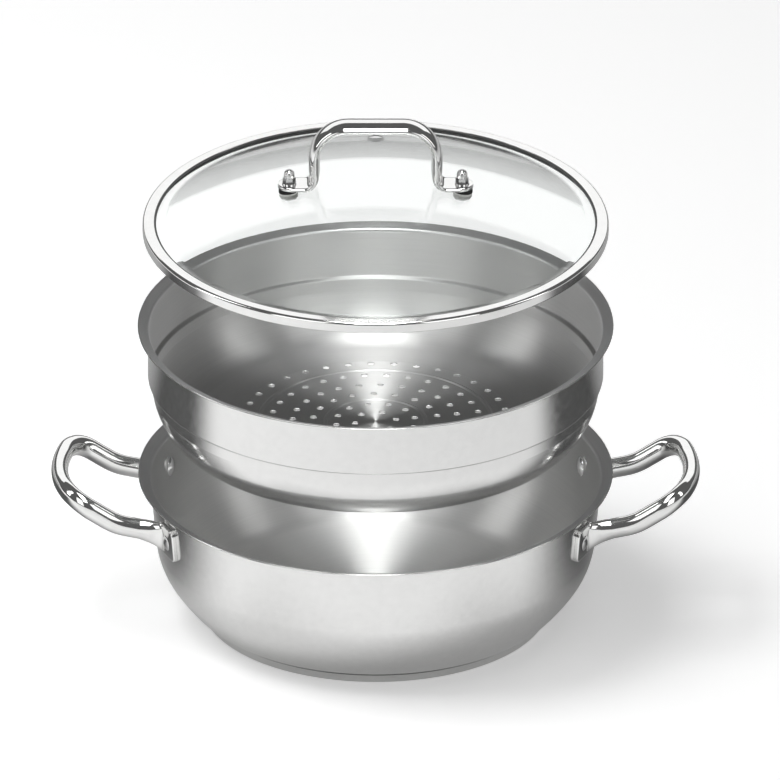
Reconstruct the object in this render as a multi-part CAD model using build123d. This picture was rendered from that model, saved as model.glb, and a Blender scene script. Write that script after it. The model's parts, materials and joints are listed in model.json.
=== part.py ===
from build123d import *
import math
import os

# Stainless steel steamer pot: a low bowl-shaped pot with two ear handles, a perforated steamer
# insert and a glass lid. Millimetres, +Z up. The origin is the centre of the base, on the table.
# The insert and the lid are modelled lifted off, one above the other, as they are stored.

# Pot body
pot_height = 94.0
rim_radius = 147.0
sheet = 0.8
lip_width = 6.1
lip_rise_angle = 20.0
lip_bend_radius = 3.0
wall_lean_angle = 5.5
upper_bowl_radius = 47.0
upper_bowl_turn = 27.5
lower_bowl_radius = 109.0
lower_bowl_turn = 11.4
floor_corner_radius = 12.5

# Pressed-on base: an aluminium plate under a steel cap
base_height = 6.0
base_cap_sheet = 0.6
base_overhang = 3.9
base_taper = 2.4
base_edge_radius = 1.0
base_cap_drop = 0.1
base_core_gap = 0.15

# Ear handles of the pot
handle_half_width = 5.2
handle_half_height = 6.5
handle_root_inset = 0.5
handle_root_height = 74.8
handle_depth = 52.6
handle_rise = 20.0
handle_leg_spread = 42.8
handle_point_shares = ((0.276, 1.0, 0.15), (0.694, 1.0, 0.86), (0.846, 0.724, 1.0), (1.0, 0.0, 0.96))
handle_knee_radius = 34.0
handle_corner_radius = 16.0
handle_shoulder_radius = 22.0
handle_bow_radius = 95.0
foot_height = 21.5
foot_thickness = 2.6
foot_start_angle = 18.2
foot_end_angle = 26.8
foot_corner_radius = 4.0
foot_edge_radius = 0.8
foot_gap = 0.05
neck_end_angle = 21.0
neck_end_offset = 0.9
neck_end_half_thickness = 1.5
neck_end_half_height = 9.4
neck_bend_run = 7.0
neck_bend_rise = 1.0
neck_shares = ((0.3, 0.87, 1.12), (0.62, 0.63, 1.31))

# Rivets of the ear handles
rivet_angle = 22.8
rivet_height = 70.8
rivet_shank_radius = 3.0
rivet_shank_gap = 0.05
rivet_head_radius = 6.2
rivet_head_height = 1.8
rivet_tail_radius = 4.8
rivet_tail_height = 1.3

# Steamer insert: heights are depths below its own rim
insert_overhang = 0.3
insert_lip_width = 5.85
insert_lip_bend_radius = 2.0
insert_wall_depth = 33.6
insert_shoulder_radius = 1.0
insert_shoulder_angle = 72.0
insert_shoulder_run = 1.5
insert_band_depth = 43.2
insert_bowl_kink = 9.0
insert_bowl_radius = 42.0
insert_bowl_turn = 34.0
insert_corner_radius = 16.0
insert_depth = 71.2
insert_floor_rise = 4.6
insert_panel_inset = 62.1
insert_crease_radius = 4.0
ridge_shares = (0.851, 0.364)
ridge_flank_angle = 34.0
ridge_bend_radius = 1.6
hole_radius = 2.05
hole_ring_shares = (0.962, 0.763, 0.604, 0.458, 0.291, 0.153)
hole_ring_counts = (36, 30, 24, 18, 12, 6)
hole_ring_phases = (-2.0, 6.0, 3.5, -1.7, 18.5, 18.0)

# Stored places of the insert and the lid, above their seats
seat_gap = 0.35
insert_lift = 67.85
lid_lift = 64.9

# Lid rim, measured up from its own underside
lid_inset = 2.7
lid_rim_height = 7.2
lid_rim_sheet = 0.6
lid_rim_flange = 6.9
lid_rim_lower_flange = 6.1
lid_rim_top_bend = 1.8
lid_rim_bottom_bend = 1.2
seal_thickness = 0.9
seal_gap = 0.05
seal_lip = 1.5

# Lid glass
glass_thickness = 4.0
glass_crown_radius = 332.0
glass_edge_bend = 8.0
glass_flat_width = 8.8

# Steam vent in the glass
vent_reach = 95.0
vent_bore_radius = 2.2
vent_barrel_radius = 3.2
vent_flange_radius = 4.9
vent_flange_height = 0.9
vent_tail_radius = 4.4
vent_hole_gap = 0.2
vent_washer_radius = 5.4
vent_washer_height = 0.8

# Lid handle
grip_half_thickness = 3.45
grip_half_width = 9.0
grip_leg_reach = 38.0
grip_rise = 39.0
grip_bend_radius = 21.0
grip_root_rise = 10.0
tab_gap = 2.35
tab_thickness = 2.5
tab_half_width = 9.2
tab_tip_reach = 60.7
tab_start_reach = 43.6
tab_edge_radius = 0.7

# Fasteners and gaskets of the lid handle
screw_reach = 53.6
screw_radius = 2.0
screw_head_radius = 4.4
screw_head_height = 2.2
screw_hole_gap = 0.2
nut_flats = 7.0
nut_hex_height = 3.4
nut_height = 8.6
nut_dome_radius = 3.3
nut_bore_depth = 5.6
washer_radius = 4.6
washer_thickness = 0.8
gasket_radius = 6.6
lower_gasket_radius = 5.8
lower_gasket_thickness = 1.2
gasket_sleeve_radius = 2.9
glass_hole_radius = 3.1
under_washer_radius = 5.2

overrun = 1.0
full_turn = 360.0
right_angle = 90.0


def walk(start, heading, moves, side_step):
    """Edges of a run of lines and tangent arcs in the (radius, height) plane.

    Each move is ("line", length) or ("arc", radius, turn), a left turn being positive. side_step
    shifts the whole run to its left, so the two faces of a sheet come from one list of moves.
    """
    angle = math.radians(heading)
    x = start[0] - side_step * math.sin(angle)
    y = start[1] + side_step * math.cos(angle)
    edges = []
    for move in moves:
        if move[0] == "line":
            new_x = x + move[1] * math.cos(angle)
            new_y = y + move[1] * math.sin(angle)
            edges.append(Line((x, y), (new_x, new_y)))
        else:
            turn = math.radians(move[2])
            side = math.copysign(1, turn)
            radius = move[1] - side * side_step
            centre_x = x - side * radius * math.sin(angle)
            centre_y = y + side * radius * math.cos(angle)
            middle = angle + turn / 2
            middle_point = (centre_x + side * radius * math.sin(middle),
                            centre_y - side * radius * math.cos(middle))
            angle += turn
            new_x = centre_x + side * radius * math.sin(angle)
            new_y = centre_y - side * radius * math.cos(angle)
            edges.append(ThreePointArc((x, y), middle_point, (new_x, new_y)))
        x, y = new_x, new_y
    return edges, (x, y)


def walk_end(start, heading, moves):
    """The point and heading where a run of moves ends."""
    end = walk(start, heading, moves, 0)[1]
    return end, heading + sum(move[2] for move in moves if move[0] == "arc")


def revolved(edges):
    """A closed outline in the (radius, height) plane, turned about Z."""
    outline = make_face([Plane.XZ * edge for edge in edges])
    return revolve(outline, Axis.Z, full_turn)


def pressed_sheet(start, heading, moves, thickness):
    """A turned sheet: the run of moves is one face, and the metal lies on its left."""
    near, near_end = walk(start, heading, moves, 0)
    far, far_end = walk(start, heading, moves, thickness)
    near_start, far_start = near[0] @ 0, far[0] @ 0
    angle = math.radians(heading)
    bulge = ((near_start.X + far_start.X) / 2 - thickness / 2 * math.cos(angle),
             (near_start.Y + far_start.Y) / 2 - thickness / 2 * math.sin(angle))
    rounded_edge = ThreePointArc(near_start, bulge, far_start)
    return revolved(near + far + [rounded_edge, Line(near_end, far_end)])


def on_wall(radius, angle, height):
    """A point at a compass angle from the X axis."""
    return Vector(radius * math.cos(math.radians(angle)), radius * math.sin(math.radians(angle)), height)


def four_ways(solid):
    """A solid of the front right quarter and its three mirror images, by name."""
    left = solid.mirror(Plane.YZ)
    return {"front_right": solid, "front_left": left,
            "back_right": solid.mirror(Plane.XZ), "back_left": left.mirror(Plane.XZ)}


# Pot shell: lip, wall, bowl and floor, followed down its inner face from the lip's edge
lip_moves = [("line", lip_width), ("arc", lip_bend_radius, right_angle - lip_rise_angle - wall_lean_angle)]
floor_corner_turn = right_angle - wall_lean_angle - upper_bowl_turn - lower_bowl_turn
bowl_moves = [("arc", upper_bowl_radius, -upper_bowl_turn), ("arc", lower_bowl_radius, -lower_bowl_turn),
              ("arc", floor_corner_radius, -floor_corner_turn)]
lip_heading = full_turn / 2 + lip_rise_angle
lip_foot, wall_heading = walk_end((rim_radius, pot_height), lip_heading, lip_moves)
bowl_drop = -walk_end((0, 0), wall_heading, bowl_moves)[0][1]
floor_top = base_height + sheet
wall_length = (lip_foot[1] - bowl_drop - floor_top) / math.cos(math.radians(wall_lean_angle))
wall_moves = lip_moves + [("line", wall_length)] + bowl_moves
floor_flat_radius = walk_end((rim_radius, pot_height), lip_heading, wall_moves)[0][0]
pot_moves = wall_moves + [("line", floor_flat_radius)]
pot_shell = pressed_sheet((rim_radius, pot_height), lip_heading, pot_moves, sheet)


wall_lean = math.radians(wall_lean_angle)


def wall_radius(height):
    """Inner radius of the pot's straight wall at a height."""
    return lip_foot[0] - (lip_foot[1] - height) * math.tan(wall_lean)


# Rivets: a shank square to the wall, a domed head inside and a low tail outside the foot
wall_across = 1 / math.cos(wall_lean)
rivet_out = on_wall(math.cos(wall_lean), -rivet_angle, -math.sin(wall_lean))
rivet_plane = Plane(origin=on_wall(wall_radius(rivet_height), -rivet_angle, rivet_height), z_dir=rivet_out)
grip_thickness = sheet + foot_gap + foot_thickness


def domed(radius, height, base):
    """A low dome: a slice of a ball, standing on base and rising along +Z."""
    ball_radius = (radius ** 2 + height ** 2) / (2 * height)
    ball = Pos(0, 0, base + height - ball_radius) * Sphere(ball_radius)
    keep = Pos(0, 0, base) * Cylinder(radius, height, align=(Align.CENTER, Align.CENTER, Align.MIN))
    return ball & keep


shank_hole = rivet_plane * Cylinder(rivet_shank_radius + rivet_shank_gap, 2 * grip_thickness + overrun)
inner_head = Rot(full_turn / 2, 0, 0) * domed(rivet_head_radius, rivet_head_height, 0)
outer_tail = domed(rivet_tail_radius, rivet_tail_height, grip_thickness + foot_gap)
shank = Cylinder(rivet_shank_radius, grip_thickness + rivet_tail_height / 2,
                 align=(Align.CENTER, Align.CENTER, Align.MIN))
rivet = rivet_plane * (inner_head + shank + outer_tail)

for hole in four_ways(shank_hole).values():
    pot_shell -= hole
rivet -= pot_shell
rivets = four_ways(rivet)

# Base: the cap is a shallow dish whose rim stands up beside the plate
base_top_radius = floor_flat_radius + base_overhang
base_bottom_radius = base_top_radius - base_taper
cap_lean = math.atan2(base_taper, base_height)
cap_lean_angle = math.degrees(cap_lean)
cap_top = base_height - base_cap_drop
cap_edge_drop = base_edge_radius * (1 - math.sin(cap_lean))
cap_side = (cap_top - cap_edge_drop) / math.cos(cap_lean)
cap_top_radius = base_bottom_radius + cap_top * math.tan(cap_lean)
cap_moves = [("line", cap_side), ("arc", base_edge_radius, -(right_angle - cap_lean_angle))]
cap_heading = full_turn * 3 / 4 - cap_lean_angle
cap_flat = walk_end((cap_top_radius, cap_top), cap_heading, cap_moves)[0]
cap_moves.append(("line", cap_flat[0]))
cap_outer, cap_outer_end = walk((cap_top_radius, cap_top), cap_heading, cap_moves, 0)
cap_inner, cap_inner_end = walk((cap_top_radius, cap_top), cap_heading, cap_moves, -base_cap_sheet)
base_cap = revolved(cap_outer + cap_inner + [Line(cap_outer[0] @ 0, cap_inner[0] @ 0),
                                             Line(cap_outer_end, cap_inner_end)])
core_top_radius = (cap_inner[0] @ 0).X
core_fill = Pos(0, 0, base_cap_sheet) * Cylinder(base_top_radius, base_height - base_cap_sheet,
                                                 align=(Align.CENTER, Align.CENTER, Align.MIN))
core_cone = Cone(base_bottom_radius - base_cap_sheet / math.cos(cap_lean) - base_core_gap,
                 core_top_radius - base_core_gap, base_height, align=(Align.CENTER, Align.CENTER, Align.MIN))
base_core = core_fill & core_cone
base_core = fillet(base_core.edges().sort_by(Axis.Z)[0], base_edge_radius)

# Ear handle, right side: an oval bar bent up from the wall, with a flat riveted foot at each end
root = Vector(rim_radius - handle_root_inset, -handle_leg_spread, handle_root_height)
front_points = [root]
for out_share, side_share, up_share in handle_point_shares:
    front_points.append(Vector(root.X + handle_depth * out_share, root.Y * side_share,
                               root.Z + handle_rise * up_share))
back_points = [Vector(p.X, -p.Y, p.Z) for p in reversed(front_points[:-1])]
front_radii = [handle_knee_radius, handle_corner_radius, handle_shoulder_radius]
handle_line = FilletPolyline(*front_points, *back_points,
                             radius=front_radii + [handle_bow_radius] + front_radii[::-1])
root_direction = (front_points[1] - root).normalized()


def oval(centre, direction, half_width, half_height):
    """An upright oval section, square to direction."""
    across = direction.cross(Vector(0, 0, 1))
    return Plane(origin=centre, x_dir=across, z_dir=direction) * Ellipse(half_width, half_height)


bar = sweep(oval(root, root_direction, handle_half_width, handle_half_height), path=handle_line)

# The foot is a rounded plate square to the wall at its middle, hollowed later to the wall's cone
foot_inner = sheet * wall_across + foot_gap
foot_middle_angle = -(foot_start_angle + foot_end_angle) / 2
foot_length = (wall_radius(rivet_height) + foot_inner) * math.radians(foot_end_angle - foot_start_angle)
foot_plane = Plane(origin=on_wall(wall_radius(rivet_height) + foot_inner, foot_middle_angle, rivet_height),
                   z_dir=on_wall(math.cos(wall_lean), foot_middle_angle, -math.sin(wall_lean)),
                   x_dir=on_wall(math.sin(wall_lean), foot_middle_angle, math.cos(wall_lean)))
foot = extrude(foot_plane.offset(-overrun) * RectangleRounded(foot_height, foot_length, foot_corner_radius),
               amount=foot_thickness + overrun)
foot_face = foot.faces().sort_by(Axis(foot_plane.origin, foot_plane.z_dir))[-1]
foot = fillet(foot_face.edges(), foot_edge_radius)

# The neck flattens the bar and bends it away from the handle's middle into the foot
along_wall = Vector(-math.sin(math.radians(neck_end_angle)), -math.cos(math.radians(neck_end_angle)), 0)
neck_end = on_wall(wall_radius(rivet_height) + foot_inner + neck_end_offset, -neck_end_angle, rivet_height)
neck_bend = neck_end - along_wall * neck_bend_run + Vector(0, 0, neck_bend_rise)
neck_sections = [oval(root, -root_direction, handle_half_width, handle_half_height)]
for share, width_share, height_share in neck_shares:
    rest = 1 - share
    neck_centre = root * rest ** 2 + neck_bend * 2 * rest * share + neck_end * share ** 2
    neck_direction = ((neck_bend - root) * rest + (neck_end - neck_bend) * share).normalized()
    neck_sections.append(oval(neck_centre, neck_direction, handle_half_width * width_share,
                              handle_half_height * height_share))
neck_sections.append(oval(neck_end, along_wall, neck_end_half_thickness, neck_end_half_height))
handle_end = foot + loft(neck_sections)

inside_low = rivet_height - foot_height
inside_corners = [(0, inside_low), (0, pot_height), (wall_radius(pot_height) + foot_inner, pot_height),
                  (wall_radius(inside_low) + foot_inner, inside_low)]
inside = revolve(make_face(Plane.XZ * Polyline(*inside_corners, close=True)), Axis.Z, full_turn)
handle_right = bar + handle_end + handle_end.mirror(Plane.XZ) - inside
for side_hole in (shank_hole, shank_hole.mirror(Plane.XZ)):
    handle_right -= side_hole
handle_left = handle_right.mirror(Plane.YZ)

# Steamer insert: its shoulder sits on the pot's lip, and the band under it drops into the mouth
insert_rim_radius = rim_radius + insert_overhang
insert_panel_radius = insert_rim_radius - insert_panel_inset
shoulder_moves = [("arc", insert_shoulder_radius, -insert_shoulder_angle),
                  ("line", insert_shoulder_run),
                  ("arc", insert_shoulder_radius, insert_shoulder_angle)]
insert_lip_moves = [("line", insert_lip_width),
                    ("arc", insert_lip_bend_radius, right_angle - lip_rise_angle)]
insert_lip_foot, insert_heading = walk_end((insert_rim_radius, 0), lip_heading, insert_lip_moves)
shoulder_end = walk_end((0, 0), insert_heading, shoulder_moves)[0]
insert_wall_length = insert_wall_depth + insert_lip_foot[1]
insert_band_length = insert_band_depth - insert_wall_depth + shoulder_end[1]
floor_lean_turn = right_angle - insert_bowl_kink - insert_bowl_turn


def ridge_moves():
    """A rounded ridge pressed up out of the floor, crossed from outside to inside."""
    return [("arc", ridge_bend_radius, -ridge_flank_angle),
            ("arc", ridge_bend_radius, 2 * ridge_flank_angle),
            ("arc", ridge_bend_radius, -ridge_flank_angle)]


ridge_width = -walk_end((0, 0), full_turn / 2, ridge_moves())[0][0]
insert_moves = insert_lip_moves + [("line", insert_wall_length)] + shoulder_moves
insert_moves += [("line", insert_band_length), ("arc", sheet / 2, -insert_bowl_kink)]
bowl_foot, bowl_heading = walk_end((insert_rim_radius, 0), lip_heading, insert_moves)
insert_bowl_moves = [("arc", insert_bowl_radius, -insert_bowl_turn),
                     ("arc", insert_corner_radius, -floor_lean_turn)]
insert_bowl_drop = -walk_end((0, 0), bowl_heading, insert_bowl_moves)[0][1]
bowl_side_length = (insert_depth + bowl_foot[1] - insert_bowl_drop) / math.cos(math.radians(insert_bowl_kink))
insert_moves += [("line", bowl_side_length)] + insert_bowl_moves
floor_start, floor_heading = walk_end((insert_rim_radius, 0), lip_heading, insert_moves)
floor_lean = math.atan2(insert_floor_rise, floor_start[0] - insert_panel_radius)
floor_lean_angle = math.degrees(floor_lean)
insert_moves += [("arc", insert_corner_radius, -floor_lean_angle)]
cone_start = walk_end((insert_rim_radius, 0), lip_heading, insert_moves)[0]
insert_moves += [("line", (cone_start[0] - insert_panel_radius) / math.cos(floor_lean)),
                 ("arc", insert_crease_radius, floor_lean_angle)]
panel_point = walk_end((insert_rim_radius, 0), lip_heading, insert_moves)[0]
place = panel_point[0]
for ridge_share in ridge_shares:
    ridge_radius = insert_panel_radius * ridge_share
    insert_moves += [("line", place - ridge_radius - ridge_width / 2)] + ridge_moves()
    place = ridge_radius - ridge_width / 2
insert_moves += [("line", place)]
steamer_insert = pressed_sheet((insert_rim_radius, 0), lip_heading, insert_moves, sheet)

hole_ways = []
for ring_share, count, phase in zip(hole_ring_shares, hole_ring_counts, hole_ring_phases):
    for index in range(count):
        angle = right_angle - phase - full_turn * index / count
        centre = on_wall(insert_panel_radius * ring_share, angle, panel_point[1])
        hole_ways.append(Pos(centre) * Cylinder(hole_radius, 2 * sheet + overrun))
steamer_insert -= hole_ways

# Seat of the insert: the outer bend of its shoulder rests on the bend of the pot's lip
lip_rise = math.radians(lip_rise_angle)
lip_bend_x = rim_radius - lip_width * math.cos(lip_rise) + lip_bend_radius * math.sin(lip_rise)
lip_bend_z = pot_height - lip_width * math.sin(lip_rise) - lip_bend_radius * math.cos(lip_rise)
shoulder_x = insert_lip_foot[0] - insert_shoulder_radius
bend_to_bend = lip_bend_radius + insert_shoulder_radius + sheet
shoulder_z = lip_bend_z + math.sqrt(bend_to_bend ** 2 - (lip_bend_x - shoulder_x) ** 2)
insert_seat = shoulder_z + insert_wall_depth + seat_gap
insert_rim_height = insert_seat + insert_lift

# Seat of the lid: the lower bend of its rim rests on the slope of the insert's lip
lid_radius = insert_rim_radius - lid_inset
lid_seat = (lid_rim_bottom_bend / math.cos(lip_rise) - lid_rim_bottom_bend
            - (insert_rim_radius - lid_radius + lid_rim_bottom_bend) * math.tan(lip_rise) + seat_gap)
lid_base = insert_rim_height + lid_seat + lid_lift
steamer_insert = Pos(0, 0, insert_rim_height) * steamer_insert

# Lid glass: a shallow crown with a flat edge that lies inside the rim
glass_top = (lid_rim_height + glass_thickness) / 2
glass_edge_radius = lid_radius - lid_rim_sheet - seal_thickness - 2 * seal_gap
bend_reach = glass_crown_radius + glass_edge_bend
crown_turn = math.asin((glass_edge_radius - glass_flat_width) / bend_reach)
crown_angle = math.degrees(crown_turn)
apex_height = glass_top + bend_reach * (1 - math.cos(crown_turn))
crown_moves = [("arc", glass_crown_radius, -crown_angle), ("arc", glass_edge_bend, crown_angle)]
crown_end = walk_end((0, apex_height), 0, crown_moves)[0]
crown_moves += [("line", glass_edge_radius - crown_end[0])]
crown_outer, crown_outer_end = walk((0, apex_height), 0, crown_moves, 0)
crown_inner, crown_inner_end = walk((0, apex_height), 0, crown_moves, -glass_thickness)
lid_glass = revolved(crown_outer + crown_inner + [Line(crown_outer_end, crown_inner_end),
                                                  Line((0, apex_height), (0, apex_height - glass_thickness))])


def crown_height(radius):
    """Height of the glass's upper face at a radius."""
    return apex_height - glass_crown_radius + math.sqrt(glass_crown_radius ** 2 - radius ** 2)


# Lid rim: a channel bent over the edge of the glass, open towards the middle
rim_side = lid_rim_height - lid_rim_top_bend - lid_rim_bottom_bend
rim_moves = [("line", lid_rim_flange - lid_rim_top_bend), ("arc", lid_rim_top_bend, -right_angle),
             ("line", rim_side), ("arc", lid_rim_bottom_bend, -right_angle),
             ("line", lid_rim_lower_flange - lid_rim_bottom_bend)]
rim_start = (lid_radius - lid_rim_flange, lid_rim_height)
rim_outer, rim_outer_end = walk(rim_start, 0, rim_moves, 0)
rim_inner, rim_inner_end = walk(rim_start, 0, rim_moves, -lid_rim_sheet)
lid_rim = revolved(rim_outer + rim_inner + [Line(rim_outer[0] @ 0, rim_inner[0] @ 0),
                                            Line(rim_outer_end, rim_inner_end)])

# Seal between rim and glass, a soft channel whose upper lip shows inside the rim
seal_outer = lid_radius - lid_rim_sheet - seal_gap
seal_web = seal_outer - seal_thickness
seal_top = lid_rim_height - lid_rim_sheet - seal_gap
seal_bottom = lid_rim_sheet + seal_gap
glass_bottom = glass_top - glass_thickness
upper_lip_radius = lid_radius - lid_rim_flange - seal_lip
lower_lip_radius = lid_radius - lid_rim_lower_flange
seal_corner = lid_rim_top_bend - lid_rim_sheet
seal_points = [(upper_lip_radius, glass_top + seal_gap), (upper_lip_radius, seal_top),
               (seal_outer - seal_corner, seal_top), (seal_outer, seal_top - seal_corner),
               (seal_outer, seal_bottom + seal_corner), (seal_outer - seal_corner, seal_bottom),
               (lower_lip_radius, seal_bottom), (lower_lip_radius, glass_bottom - seal_gap),
               (seal_web, glass_bottom - seal_gap), (seal_web, glass_top + seal_gap)]
lid_rim_seal = revolve(make_face(Plane.XZ * Polyline(*seal_points, close=True)), Axis.Z, full_turn)

# Steam vent: an eyelet square to the glass, with a washer under it
vent_lean = math.degrees(math.asin(vent_reach / glass_crown_radius))
vent_plane = Pos(0, vent_reach, crown_height(vent_reach)) * Rot(-vent_lean, 0, 0)
vent_length = glass_thickness + seal_gap + vent_washer_height
centred_down = (Align.CENTER, Align.CENTER, Align.MAX)
centred_up = (Align.CENTER, Align.CENTER, Align.MIN)
eyelet = domed(vent_flange_radius, vent_flange_height, 0)
eyelet += Cylinder(vent_barrel_radius, vent_length + vent_flange_height / 2, align=centred_down)
eyelet += Rot(full_turn / 2, 0, 0) * domed(vent_tail_radius, vent_flange_height, vent_length)
eyelet -= Cylinder(vent_bore_radius, 2 * (vent_length + vent_flange_height) + overrun)
vent_ring = Cylinder(vent_washer_radius, vent_washer_height, align=centred_down)
vent_ring -= Cylinder(vent_barrel_radius + vent_hole_gap, 2 * vent_washer_height + overrun)
vent_eyelet = vent_plane * eyelet
vent_washer = vent_plane * Pos(0, 0, -glass_thickness - seal_gap) * vent_ring
vent_hole = vent_plane * Cylinder(vent_barrel_radius + vent_hole_gap, 2 * vent_length + overrun)
lid_glass -= vent_hole

# Lid handle: a broad oval strip, bent up at its tabs and over at the top
tab_bottom = crown_height(screw_reach) + tab_gap
tab_top_height = tab_bottom + tab_thickness
grip_root_height = tab_top_height + grip_root_rise
grip_bar_height = tab_top_height + grip_rise
grip_line = FilletPolyline((-grip_leg_reach, 0, grip_root_height), (-grip_leg_reach, 0, grip_bar_height),
                           (grip_leg_reach, 0, grip_bar_height), (grip_leg_reach, 0, grip_root_height),
                           radius=grip_bend_radius)
grip_section = Plane(origin=(-grip_leg_reach, 0, grip_root_height), z_dir=(0, 0, 1)) * Ellipse(
    grip_half_thickness, grip_half_width)
lid_handle = sweep(grip_section, path=grip_line)
tab_middle = tab_top_height - tab_thickness / 2
tab_round_reach = tab_tip_reach - tab_half_width
tab_plate = Pos((tab_start_reach + tab_round_reach) / 2, 0, tab_middle) * Box(
    tab_round_reach - tab_start_reach, 2 * tab_half_width, tab_thickness)
tab_plate += Pos(tab_round_reach, 0, tab_middle) * Cylinder(tab_half_width, tab_thickness)
tab_edges = tab_plate.edges().filter_by(lambda e: e.center().X > tab_start_reach + tab_edge_radius
                                        and abs((e @ 0).Z - (e @ 1).Z) < tab_edge_radius)
tab_plate = fillet(tab_edges, tab_edge_radius)
elbow_shares = ((0.0, 1.0, 1.0, 0.0), (0.06, 0.42, 0.82, 20.0), (0.36, 0.1, 0.62, 55.0))
elbow_sections = []
for out_share, up_share, thick_share, lean in elbow_shares:
    elbow_place = (grip_leg_reach + out_share * (tab_start_reach + tab_edge_radius - grip_leg_reach), 0,
                   tab_middle + up_share * (grip_root_height - tab_middle))
    elbow_sections.append(Pos(elbow_place) * Rot(0, -lean, 0) * Ellipse(
        grip_half_thickness * thick_share, grip_half_width))
elbow_sections.append(Pos(tab_start_reach + tab_edge_radius, 0, tab_middle) * Rot(0, -right_angle, 0)
                      * Ellipse(tab_thickness / 2, tab_half_width))
tab_end = tab_plate + loft(elbow_sections)
lid_handle += [tab_end, tab_end.mirror(Plane.YZ)]

# Fasteners on the right tab: screw up through gasket, glass, gasket and tab into the cap nut
under_glass = crown_height(screw_reach) - glass_thickness
gasket_bottom = crown_height(screw_reach + lower_gasket_radius) - glass_thickness - lower_gasket_thickness
screw_hole_radius = screw_radius + screw_hole_gap


def ring(radius, bore, low, high):
    """A flat ring on the screw's axis between two heights."""
    body = Pos(screw_reach, 0, low) * Cylinder(radius, high - low, align=centred_up)
    return body - Pos(screw_reach, 0, low) * Cylinder(bore, 2 * (high - low) + overrun)


crown = Pos(0, 0, apex_height - glass_crown_radius) * Sphere(glass_crown_radius)
crown_hollow = Pos(0, 0, apex_height - glass_crown_radius) * Sphere(glass_crown_radius - glass_thickness)
glass_hole = Pos(screw_reach, 0, under_glass) * Cylinder(glass_hole_radius, 2 * glass_thickness + overrun)
tab_hole = Pos(screw_reach, 0, tab_middle) * Cylinder(screw_hole_radius, tab_thickness + overrun)
for hole in (glass_hole, glass_hole.mirror(Plane.YZ)):
    lid_glass -= hole
for hole in (tab_hole, tab_hole.mirror(Plane.YZ)):
    lid_handle -= hole

upper_gasket = ring(gasket_radius, screw_hole_radius, under_glass, tab_bottom) - crown
upper_gasket += ring(gasket_sleeve_radius, screw_hole_radius, under_glass + overrun, tab_bottom)
lower_gasket = ring(lower_gasket_radius, screw_hole_radius, gasket_bottom, under_glass + glass_thickness)
lower_gasket &= crown_hollow
under_washer = ring(under_washer_radius, screw_hole_radius, gasket_bottom - washer_thickness, gasket_bottom)
nut_washer = ring(washer_radius, screw_hole_radius, tab_top_height, tab_top_height + washer_thickness)
nut_base = tab_top_height + washer_thickness
nut_body = Pos(screw_reach, 0, nut_base) * extrude(
    RegularPolygon(nut_flats / 2, 6, major_radius=False), amount=nut_hex_height)
nut_body += Pos(screw_reach, 0, nut_base) * Cylinder(nut_dome_radius, nut_height - nut_dome_radius,
                                                    align=centred_up)
nut_body += Pos(screw_reach, 0, nut_base + nut_height - nut_dome_radius) * Sphere(nut_dome_radius)
nut_body -= Pos(screw_reach, 0, nut_base - overrun) * Cylinder(
    screw_radius + seal_gap, nut_bore_depth + overrun, align=centred_up)
screw_head_top = gasket_bottom - washer_thickness
screw_tip = nut_base + nut_bore_depth - washer_thickness
screw = Pos(screw_reach, 0, screw_head_top) * Cylinder(screw_radius, screw_tip - screw_head_top,
                                                       align=centred_up)
screw += Pos(screw_reach, 0, screw_head_top) * Rot(full_turn / 2, 0, 0) * domed(
    screw_head_radius, screw_head_height, 0)

right_fasteners = {"cap_nut": nut_body, "nut_washer": nut_washer, "upper_gasket": upper_gasket,
                   "lower_gasket": lower_gasket, "under_washer": under_washer, "handle_screw": screw}

nodes = {
    "pot_shell": pot_shell,
    "base_core": base_core,
    "base_cap": base_cap,
    "pot_handle_left": handle_left,
    "pot_handle_right": handle_right,
    "steamer_insert": steamer_insert,
}
for corner_name, solid in rivets.items():
    nodes["rivet_" + corner_name] = solid
lid_parts = {"lid_glass": lid_glass, "lid_rim": lid_rim, "lid_rim_seal": lid_rim_seal,
             "vent_eyelet": vent_eyelet, "vent_washer": vent_washer, "lid_handle": lid_handle}
for name, solid in right_fasteners.items():
    lid_parts[name + "_right"] = solid
    lid_parts[name + "_left"] = solid.mirror(Plane.YZ)
for name, solid in lid_parts.items():
    nodes[name] = Pos(0, 0, lid_base) * solid

os.makedirs("parts", exist_ok=True)
for name, solid in nodes.items():
    export_step(solid, "parts/" + name + ".step")

print("insert rim height", round(insert_rim_height, 3), "lid underside", round(lid_base, 3))
print("floor flat radius", round(floor_flat_radius, 2), "wall length", round(wall_length, 2))
print("insert floor starts", [round(v, 2) for v in floor_start], "panel", [round(v, 2) for v in panel_point])
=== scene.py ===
import json
import math

import bpy
import numpy as np
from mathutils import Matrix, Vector
from mathutils.geometry import delaunay_2d_cdt

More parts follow.
